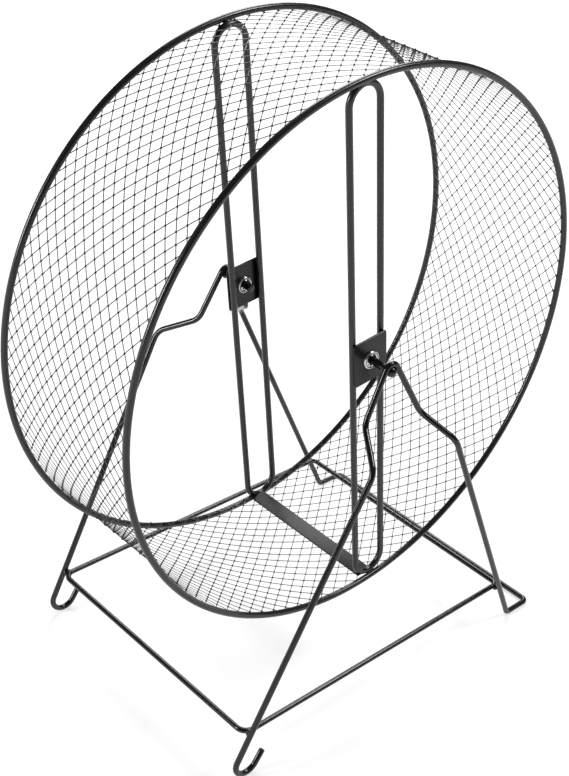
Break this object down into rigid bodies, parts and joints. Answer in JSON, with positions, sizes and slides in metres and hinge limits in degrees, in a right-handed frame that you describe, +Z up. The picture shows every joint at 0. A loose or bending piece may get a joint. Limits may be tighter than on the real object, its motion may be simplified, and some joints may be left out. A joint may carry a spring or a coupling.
{
  "type": "hamster wheel",
  "caption": "Open-faced running wheel of metal mesh between wire rims, spinning on stub axles in a freestanding bent wire stand with hooked feet.",
  "frame": {"origin": "on the ground, below the middle of the axle line", "axes": "+Z up, +Y along the axle line from the front face of the drum to the rear one, +X from the hooks to the ground rail"},
  "size_m": [0.2832, 0.1674, 0.3296],
  "materials": {
    "coated_wire": "semi-gloss black coating",
    "coated_sheet": "satin black coating",
    "coated_mesh": "satin black coating",
    "bright_nickel": "bright nickel plating"
  },
  "bodies": {
    "stand": {"front_leg_wire": "coated_wire", "rear_leg_wire": "coated_wire", "ground_rail": "coated_wire", "base_frame": "coated_wire", "front_stub_axle": "coated_wire", "rear_stub_axle": "coated_wire"},
    "wheel": {"front_rim": "coated_wire", "rear_rim": "coated_wire", "front_spoke_loop": "coated_wire", "rear_spoke_loop": "coated_wire", "front_hub_plate": "coated_sheet", "rear_hub_plate": "coated_sheet", "front_eyelet": "bright_nickel", "rear_eyelet": "bright_nickel", "mesh_band": "coated_mesh", "seam_bar": "coated_sheet"}
  },
  "joints": [
    {"name": "wheel_spin", "type": "hinge", "parent": "stand", "child": "wheel", "pos_m": [0, 0, 0.188], "axis": [0, 1, 0], "continuous": true}
  ]
}
